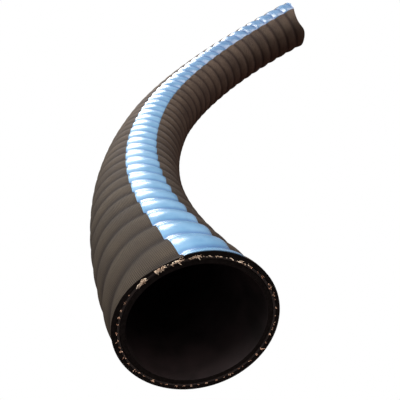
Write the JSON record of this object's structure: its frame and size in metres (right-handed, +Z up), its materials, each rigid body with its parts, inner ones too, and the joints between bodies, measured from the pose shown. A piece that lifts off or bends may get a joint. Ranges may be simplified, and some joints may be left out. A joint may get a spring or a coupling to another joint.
{
  "type": "wet exhaust hose",
  "caption": "Length of corrugated rubber wet exhaust hose with a coloured stripe, lying in a bend with both ends cut open.",
  "frame": {"origin": "centre of the bounding box, on the floor that the hose lies on", "axes": "+Z up, +Y the way the hose leads away from its near, skew-cut end, +X towards its far end, the inside of the bend"},
  "size_m": [0.4918, 0.5462, 0.0768],
  "materials": {
    "liner_rubber": "smooth black rubber",
    "textile": "tan reinforcing yarn",
    "cover_rubber": "black rubber with a cloth imprint",
    "stripe_blue": "glossy light blue stripe"
  },
  "bodies": {
    "root": {"inner_liner": "liner_rubber", "textile_ply": "textile", "outer_cover": "cover_rubber", "blue_stripe": "stripe_blue"}
  },
  "joints": []
}
